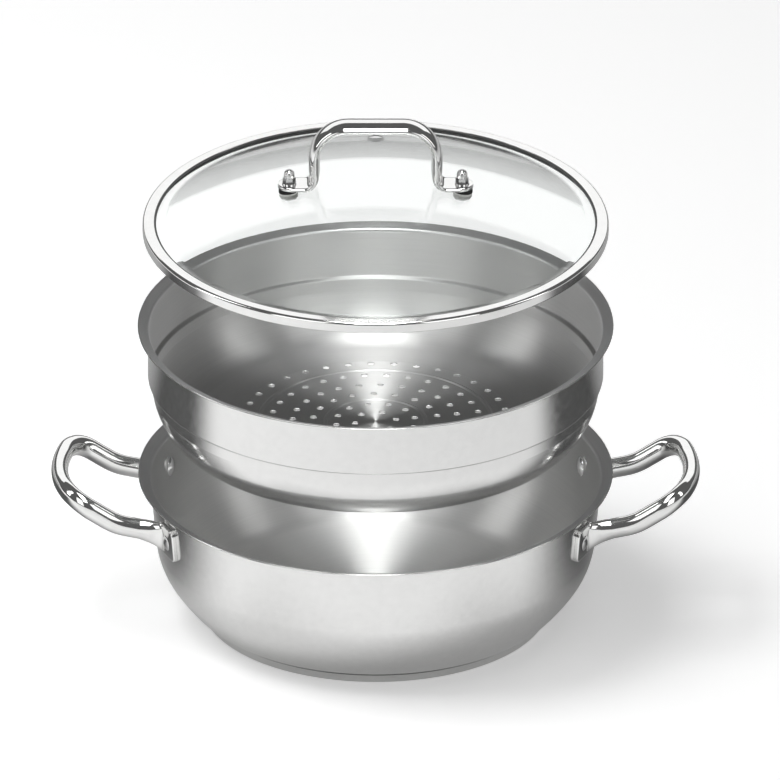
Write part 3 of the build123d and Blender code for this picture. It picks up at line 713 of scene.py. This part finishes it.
def roundedPath(points, radii, step):
    # The points joined by straight runs, with each inner corner rounded to its own radius
    points = [Vector(p) for p in points]
    path = [points[0]]
    for before, corner, after, radius in zip(points, points[1:], points[2:], radii):
        inward, outward = (corner - before).normalized(), (after - corner).normalized()
        turn = inward.angle(outward)
        if turn < straightTurn:
            continue
        back = radius * math.tan(turn / 2)
        first = corner - inward * back
        normal = (outward - inward * math.cos(turn)).normalized()
        centre = first + normal * radius
        count = max(3, math.ceil(radius * turn / step))
        path += [centre - normal * radius * math.cos(turn * i / count)
                 + inward * radius * math.sin(turn * i / count) for i in range(count + 1)]
    path.append(points[-1])
    dense = [path[0]]
    for a, b in zip(path, path[1:]):
        length = (b - a).length
        if length < tiny:
            continue
        count = max(1, math.ceil(length / step))
        dense += [a.lerp(b, i / count) for i in range(1, count + 1)]
    return dense


def sweepBar(path, sizes, upright, sideSteps):
    # sizes gives (half across, half upright, squareness) at each point, where a squareness of 2 is
    # an ellipse and more is boxier; upright gives the section's up
    points, faces = [], []
    count = len(path)
    for i, (centre, (across, up, square)) in enumerate(zip(path, sizes)):
        along = (path[min(i + 1, count - 1)] - path[max(i - 1, 0)]).normalized()
        side = along.cross(upright[i]).normalized()
        rise = side.cross(along)
        for j in range(sideSteps):
            turn = fullTurn * j / sideSteps
            c, s = math.cos(turn), math.sin(turn)
            x = math.copysign(abs(c) ** (2 / square), c) * across
            y = math.copysign(abs(s) ** (2 / square), s) * up
            points.append(centre + side * x + rise * y)
    for i in range(count - 1):
        for j in range(sideSteps):
            a, b = i * sideSteps + j, i * sideSteps + (j + 1) % sideSteps
            faces.append((a, b, b + sideSteps, a + sideSteps))
    faces.append(list(range(sideSteps))[::-1])
    faces.append([(count - 1) * sideSteps + j for j in range(sideSteps)])
    return points, faces


def meshPiece(name, points, faces, material, body, materialSlot, replaced, crease):
    mesh = bpy.data.meshes.new(name)
    mesh.from_pydata([[c * mm for c in p] for p in points], [], faces)
    mesh.materials.append(material)
    mesh.polygons.foreach_set("use_smooth", [True] * len(faces))
    mesh.update()
    mesh.set_sharp_from_angle(angle=math.radians(crease))
    addPiece(name, mesh, body, replaced)


# Ear handles: an oval bar whose ends are flattened and turned out into riveted feet. The bar's
# points are shares of its depth, half spread and rise
ear = {
    "halfWidth": 5.2, "halfHeight": 6.5, "root": (146.5, -42.8, 74.8), "depth": 52.6, "rise": 20.0,
    "pointShares": ((0.276, 1.0, 0.15), (0.694, 1.0, 0.86), (0.846, 0.724, 1.0), (1.0, 0.0, 0.96)),
    "radii": (34.0, 16.0, 22.0, 95.0), "pathStep": 1.0, "sides": 48, "crease": 40.0,
    "oval": 2.0, "neckBoxier": 0.8, "neckSteps": 24,
    "neckEndAngle": 21.0, "neckEndOffset": 0.9, "neckBendRun": 7.0, "neckBendRise": 1.0,
    "neckStations": ((0.0, 1.0, 1.0), (0.3, 0.87, 1.12), (0.62, 0.63, 1.31), (1.0, 0.29, 1.446)),
    "footHeight": 21.5, "footThickness": 2.6, "footStart": 18.2, "footEnd": 26.8,
    "footCorner": 4.0, "footLeastCorner": 0.3, "footCornerSteps": 6, "footEdge": 0.8,
    "footEdgeSteps": 5, "footBackInset": 3.0, "footFrontInsets": (1.6, 2.6, 4.0),
    "rivetHeight": 70.8, "gap": 0.05,
}
upwards = Vector((0, 0, 1))


def onWall(radius, angle, height):
    turn = math.radians(angle)
    return Vector((radius * math.cos(turn), radius * math.sin(turn), height))


def mirroredY(points):
    return [Vector((p.x, -p.y, p.z)) for p in points]


def footWall():
    return potWallRadius(ear["rivetHeight"], pot["sheet"]) + ear["gap"]


def earBar():
    root, depth, rise = Vector(ear["root"]), ear["depth"], ear["rise"]
    front = [root] + [Vector((root.x + depth * out, root.y * aside, root.z + rise * up))
                      for out, aside, up in ear["pointShares"]]
    back = mirroredY(front[-2::-1])
    knee, corner, shoulder, bow = ear["radii"]
    radii = (knee, corner, shoulder, bow, shoulder, corner, knee)
    path = roundedPath(front + back, radii, ear["pathStep"])
    angle = math.radians(ear["neckEndAngle"])
    alongWall = Vector((-math.sin(angle), -math.cos(angle), 0))
    neckEnd = onWall(footWall() + ear["neckEndOffset"], -ear["neckEndAngle"], ear["rivetHeight"])
    bend = neckEnd - alongWall * ear["neckBendRun"] + upwards * ear["neckBendRise"]
    neck, neckSizes = [], []
    shares, widths, heights = (list(column) for column in zip(*ear["neckStations"]))
    for i in range(1, ear["neckSteps"] + 1):
        t = i / ear["neckSteps"]
        neck.append(root * (1 - t) ** 2 + bend * 2 * t * (1 - t) + neckEnd * t ** 2)
        neckSizes.append((ear["halfWidth"] * float(np.interp(t, shares, widths)),
                          ear["halfHeight"] * float(np.interp(t, shares, heights)),
                          ear["oval"] + ear["neckBoxier"] * t))
    bar = [(ear["halfWidth"], ear["halfHeight"], ear["oval"])] * len(path)
    line = neck[::-1] + path + mirroredY(neck)
    sizes = neckSizes[::-1] + bar + neckSizes
    return sweepBar(line, sizes, [upwards] * len(line), ear["sides"])


def earFoot(side):
    # A rounded plate that follows the wall, with a rolled edge
    wall = footWall()
    halfLength = wall * math.radians(ear["footEnd"] - ear["footStart"]) / 2
    halfHeight = ear["footHeight"] / 2
    middle = (ear["footStart"] + ear["footEnd"]) / 2
    lean = math.tan(math.radians(pot["wallLean"]))
    cornerSteps, edgeSteps = ear["footCornerSteps"], ear["footEdgeSteps"]

    def place(a, b, lift):
        radius = wall + b * lean + lift
        return onWall(radius, side * (middle + math.degrees(a / wall)), ear["rivetHeight"] + b)

    def loop(inset, lift):
        corner = max(ear["footCorner"] - inset, ear["footLeastCorner"])
        width, tall = halfLength - inset - corner, halfHeight - inset - corner
        run = []
        for cx, cy, start in ((width, tall, 0), (-width, tall, 90), (-width, -tall, 180),
                              (width, -tall, 270)):
            for i in range(cornerSteps + 1):
                turn = math.radians(start + 90 * i / cornerSteps)
                run.append(place(cx + corner * math.cos(turn), cy + corner * math.sin(turn), lift))
        return run

    thick, edge = ear["footThickness"], ear["footEdge"]
    rings = [loop(ear["footBackInset"], 0.0), loop(0.0, 0.0), loop(0.0, thick - edge)]
    for i in range(1, edgeSteps + 1):
        turn = quarterTurn * i / edgeSteps
        rings.append(loop(edge * (1 - math.cos(turn)), thick - edge * (1 - math.sin(turn))))
    rings += [loop(inset, thick) for inset in ear["footFrontInsets"]]
    points = [p for ring in rings for p in ring]
    count = len(rings[0])
    faces = []
    for i in range(len(rings) - 1):
        for j in range(count):
            a, b = i * count + j, i * count + (j + 1) % count
            far, back = b + count, a + count
            faces.append((a, b, far, back) if side > 0 else (a, back, far, b))
    first = list(range(count))
    last = [(len(rings) - 1) * count + j for j in first]
    faces += [last, first[::-1]] if side > 0 else [last[::-1], first]
    return points, faces


def joined(*shapes):
    points, faces = [], []
    for shapePoints, shapeFaces in shapes:
        faces += [[v + len(points) for v in face] for face in shapeFaces]
        points += shapePoints
    return points, faces


def mirroredX(points, faces):
    return [Vector((-p.x, p.y, p.z)) for p in points], [list(face)[::-1] for face in faces]


rightEar = joined(earBar(), earFoot(-1), earFoot(1))
leftEar = mirroredX(*rightEar)
meshPiece("ear_right", *rightEar, handleSteel, "pot", "handle_steel", ["pot_handle_right"],
          ear["crease"])
meshPiece("ear_left", *leftEar, handleSteel, "pot", "handle_steel", ["pot_handle_left"],
          ear["crease"])
print("ear handles bent")

# Lid handle: an oval strip, flattened at its tabs, bent up and over. It is flat up to flatTo along
# the strip and full from fullFrom on
grip = {
    "halfThickness": 3.45, "halfWidth": 9.0, "legReach": 38.0, "rise": 39.0, "bend": 21.0,
    "elbow": 6.3, "tabGap": 2.35, "tabThickness": 2.5, "tabHalfWidth": 9.2, "tabTip": 60.7,
    "tipHalfWidth": 0.8, "tabSquareness": 5.0, "squarenessLoss": 3.0, "screwReach": 53.6,
    "flatTo": 15.5, "fullFrom": 31.0, "pathStep": 0.7, "sides": 56, "crease": 50.0,
}


def gripSize(fromEnd):
    halfTab, tabWidth = grip["tabThickness"] / 2, grip["tabHalfWidth"]
    share = (fromEnd - grip["flatTo"]) / (grip["fullFrom"] - grip["flatTo"])
    share = min(max(share, 0), 1)
    share = share * share * (3 - 2 * share)
    thick = halfTab + share * (grip["halfThickness"] - halfTab)
    wide = tabWidth + share * (grip["halfWidth"] - tabWidth)
    if fromEnd < tabWidth:
        out = 1 - fromEnd / tabWidth
        wide = max(tabWidth * math.sqrt(max(1 - out ** 2, 0)), grip["tipHalfWidth"])
    return wide, thick, grip["tabSquareness"] - grip["squarenessLoss"] * share


def lidHandle():
    halfTab = grip["tabThickness"] / 2
    tabMiddle = lidBase + crownHeight(grip["screwReach"]) + grip["tabGap"] + halfTab
    top = tabMiddle + halfTab + grip["rise"]
    tip, leg = grip["tabTip"], grip["legReach"]
    corners = [(-tip, 0, tabMiddle), (-leg, 0, tabMiddle), (-leg, 0, top), (leg, 0, top),
               (leg, 0, tabMiddle), (tip, 0, tabMiddle)]
    radii = (grip["elbow"], grip["bend"], grip["bend"], grip["elbow"])
    path = roundedPath(corners, radii, grip["pathStep"])
    lengths = [0.0]
    for a, b in zip(path, path[1:]):
        lengths.append(lengths[-1] + (b - a).length)
    sizes = [gripSize(min(length, lengths[-1] - length)) for length in lengths]
    upright = []
    for i in range(len(path)):
        along = (path[min(i + 1, len(path) - 1)] - path[max(i - 1, 0)]).normalized()
        upright.append(along.cross(Vector((0, 1, 0))))
    points, faces = sweepBar(path, sizes, upright, grip["sides"])
    meshPiece("lid_grip", points, faces, handleSteel, "lid", "handle_steel", ["lid_handle"],
              grip["crease"])


lidHandle()
print("lid handle bent")

# Small turned and moulded parts keep the frame's meshes, with smooth shading and their finish
smallPartCrease = 32.0
turnedParts = ("rivet", "vent", "cap_nut", "nut_washer", "under_washer", "handle_screw")
nodeFinish = {"base_core": baseAluminium}
for name in frame["nodes"]:
    if "lower_gasket" in name:
        nodeFinish[name] = clearSilicone
    elif "gasket" in name:
        nodeFinish[name] = gasketSilicone
    elif name.startswith(turnedParts):
        nodeFinish[name] = fastenerSteel
for name, material in nodeFinish.items():
    mesh = frame["nodes"][name].data
    mesh.materials.clear()
    mesh.materials.append(material)
    mesh.polygons.foreach_set("use_smooth", [True] * len(mesh.polygons))
    mesh.set_sharp_from_angle(angle=math.radians(smallPartCrease))
print("small parts finished")


# Stage: a pale floor, soft lamps and a camera at the photograph's angle, in metres
stage = {
    "floorHalf": 6.0, "floorColour": "#F4F4F4", "floorGlow": 0.36, "paintedReflectionGlow": 0.22,
    "surroundings": 0.11, "cameraElevation": 26.0, "cameraTarget": (0.00893, 0.0, 0.14956),
    "cameraDistance": 2.0, "cameraReach": 20.0, "viewWidth": 0.4838,
}


def times(tree, first, second):
    return mathNode(tree, "MULTIPLY", links={0: first, 1: second})


def window(tree, value, centre, half, soft):
    # 1 inside half of the centre, 0 beyond it, with a soft edge
    away = mathNode(tree, "SUBTRACT", {1: centre}, {0: value})
    away = mathNode(tree, "ABSOLUTE", links={0: away})
    return addNode(tree, "ShaderNodeMapRange", {"interpolation_type": "SMOOTHSTEP"},
                   {"From Min": half - soft, "From Max": half + soft, "To Min": 1.0, "To Max": 0.0},
                   {"Value": away}).outputs[0]


def raySides(tree):
    # Rays that see a place straight on or through clear glass, and rays that mirror it in something
    path = addNode(tree, "ShaderNodeLightPath")
    mirrored = mathNode(tree, "GREATER_THAN", {1: 0.5}, {0: path.outputs["Glossy Depth"]})
    straight = mathNode(tree, "MAXIMUM", links={0: path.outputs["Is Camera Ray"],
                                                1: path.outputs["Is Transmission Ray"]})
    unmirrored = mathNode(tree, "SUBTRACT", {0: 1.0}, {1: mirrored})
    return times(tree, straight, unmirrored), mirrored


# Painted reflections: grey patches painted on the floor that only the metal sees, dark ones at the
# sides, painted shade behind and a painted shadow round the pot, with the grey that they leave of
# the floor
paintedMirrorShades = {
    "left painted dark reflection": {"centre": (-0.42, 0.12), "half": (0.27, 0.17), "soft": (0.08, 0.08), "grey": 0.1},
    "right painted dark reflection": {"centre": (0.42, 0.12), "half": (0.27, 0.17), "soft": (0.08, 0.08), "grey": 0.1},
    "painted shadow round the pot": {"centre": (0.0, 0.0), "half": (0.15, 0.18), "soft": (0.05, 0.05), "grey": 0.75},
    "painted shade behind": {"centre": (0.0, 0.75), "half": (0.9, 0.5), "soft": (0.1, 0.1), "grey": 0.45},
}


def floorMaterial():
    # Matt white paper: the eye gets an even white that holds a soft shadow
    # Only where it is mirrored, it carries painted grey patches and a painted shadow round the pot
    material, tree = newMaterial("matt white paper sweep")
    seen, mirrored = raySides(tree)
    place = addNode(tree, "ShaderNodeTexCoord").outputs["Object"]
    place = addNode(tree, "ShaderNodeSeparateXYZ", links={0: place})
    white = addNode(tree, "ShaderNodeValue").outputs[0]
    white.default_value = 1.0
    # Each patch paints grey onto the floor only for mirrored rays: painted dark reflections and
    # painted shadow
    for paintedPatch in paintedMirrorShades.values():
        (cx, cy), (hx, hy), (sx, sy) = paintedPatch["centre"], paintedPatch["half"], paintedPatch["soft"]
        cover = times(tree, window(tree, place.outputs[0], cx, hx, sx),
                      window(tree, place.outputs[1], cy, hy, sy))
        cover = times(tree, cover, mirrored)
        kept = mathNode(tree, "MULTIPLY_ADD", {1: paintedPatch["grey"] - 1, 2: 1.0}, {0: cover})
        white = times(tree, white, kept)
    colour = addNode(tree, "ShaderNodeMix", {"data_type": "RGBA"},
                     {6: (0, 0, 0, 1), 7: hexToLinear(stage["floorColour"])}, {0: white})
    diffuse = addNode(tree, "ShaderNodeBsdfDiffuse", {}, {}, {"Color": colour.outputs[2]})
    seenGlow = mathNode(tree, "MULTIPLY", {1: stage["floorGlow"]}, {0: seen})
    # Painted reflection glow: in the metal the floor shines brighter than the lamps light it
    paintedReflectionGlow = mathNode(tree, "MULTIPLY", {1: stage["paintedReflectionGlow"]}, {0: mirrored})
    glow = mathNode(tree, "ADD", links={0: seenGlow, 1: paintedReflectionGlow})
    emission = addNode(tree, "ShaderNodeEmission", {}, {}, {"Strength": times(tree, glow, white)})
    lit = addNode(tree, "ShaderNodeAddShader", {}, {},
                  {0: diffuse.outputs[0], 1: emission.outputs[0]})
    finishMaterial(tree, lit.outputs[0])
    return material


def floor():
    half = stage["floorHalf"]
    corners = [(-half, -half, 0), (half, -half, 0), (half, half, 0), (-half, half, 0)]
    mesh = bpy.data.meshes.new("floor")
    mesh.from_pydata(corners, [], [(0, 1, 2, 3)])
    mesh.materials.append(floorMaterial())
    piece = bpy.data.objects.new("floor", mesh)
    bpy.context.scene.collection.objects.link(piece)


def world():
    # White where it is looked at, a dim room to everything else
    sky = bpy.data.worlds.new("studio")
    sky.use_nodes = True
    tree = sky.node_tree
    tree.nodes.clear()
    seen, _ = raySides(tree)
    level = addNode(tree, "ShaderNodeMix", {"data_type": "FLOAT"},
                    {2: stage["surroundings"], 3: 1.0}, {0: seen})
    background = addNode(tree, "ShaderNodeBackground", {}, {"Color": (1, 1, 1, 1)},
                         {"Strength": level.outputs[0]})
    addNode(tree, "ShaderNodeOutputWorld", links={"Surface": background.outputs[0]})
    bpy.context.scene.world = sky


# Soft boxes: place and aim, size, and how bright the cloth looks. Those for the table light only
# matt things; the others stand only in the metal and glass. One lights just the lid and the ears
softBoxes = {
    "key box": {"place": (-1.35, 0.0, 2.3), "aim": (0, 0, 0.1), "size": (1.6, 1.6), "glow": 5.2,
                "table": True},
    "top box": {"place": (0.0, -0.4, 2.6), "aim": (0, -0.4, 0), "size": (2.6, 2.6), "glow": 0.9,
                "table": True},
    "overhead strip": {"place": (0.0, -1.1, 2.4), "aim": (0, -1.1, 0), "size": (0.8, 2.8),
                       "glow": 7.0},
    "front left box": {"place": (-1.55, -2.1, 1.25), "aim": (0, 0, 0.3), "size": (1.3, 2.0),
                       "glow": 1.4},
    "front right box": {"place": (1.55, -2.1, 1.25), "aim": (0, 0, 0.3), "size": (1.3, 2.0),
                        "glow": 1.4},
    "left strip": {"place": (-2.4, -0.1, 1.6), "aim": (0, 0, 0.3), "size": (0.6, 2.2),
                   "glow": 2.6},
    "box behind the lid": {"place": (0.0, 2.2, 1.25), "aim": (0, 0, 0.3), "size": (3.6, 1.1),
                           "glow": 1.0, "body": "lid", "pieces": ("ear_left", "ear_right")},
    "right strip": {"place": (2.4, -0.25, 1.5), "aim": (0, 0, 0.3), "size": (0.5, 2.0),
                    "glow": 2.0},
}


def lightOnly(item, body, pieces):
    lit = bpy.data.collections.new(item.name)
    for piece in frame["bodies"][body].children_recursive:
        lit.objects.link(piece)
    for name in pieces:
        lit.objects.link(bpy.data.objects[name])
    item.light_linking.receiver_collection = lit


def lamps():
    for name, look in softBoxes.items():
        width, height = look["size"]
        lamp = bpy.data.lights.new(name, "AREA")
        lamp.shape = "RECTANGLE"
        lamp.size, lamp.size_y = width, height
        lamp.energy = look["glow"] * width * height * math.pi
        item = bpy.data.objects.new(name, lamp)
        bpy.context.scene.collection.objects.link(item)
        item.visible_diffuse = look.get("table", False)
        item.visible_glossy = item.visible_transmission = not item.visible_diffuse
        item.visible_camera = False
        if "body" in look:
            lightOnly(item, look["body"], look["pieces"])
        line = Vector(look["aim"]) - Vector(look["place"])
        item.location = look["place"]
        item.rotation_euler = line.to_track_quat("-Z", "Y").to_euler()


def camera():
    data = bpy.data.cameras.new("camera")
    data.type = "ORTHO"
    data.ortho_scale = stage["viewWidth"]
    data.clip_end = stage["cameraReach"]
    item = bpy.data.objects.new("camera", data)
    bpy.context.scene.collection.objects.link(item)
    lift = math.radians(stage["cameraElevation"])
    away = Vector((0, -math.cos(lift), math.sin(lift))) * stage["cameraDistance"]
    item.location = Vector(stage["cameraTarget"]) + away
    item.rotation_euler = (quarterTurn - lift, 0, 0)
    bpy.context.scene.camera = item


def liftedPart(body, mirrored):
    # The photograph joins three single shots, so a lifted part shades nothing below it, and the
    # insert isn't mirrored in the pot either
    for piece in frame["bodies"][body].children_recursive:
        piece.visible_shadow = False
        piece.visible_glossy = mirrored


floor()
world()
lamps()
camera()
liftedPart("insert", False)
liftedPart("lid", True)
bpy.context.scene.view_settings.view_transform = "Standard"
print("stage set")
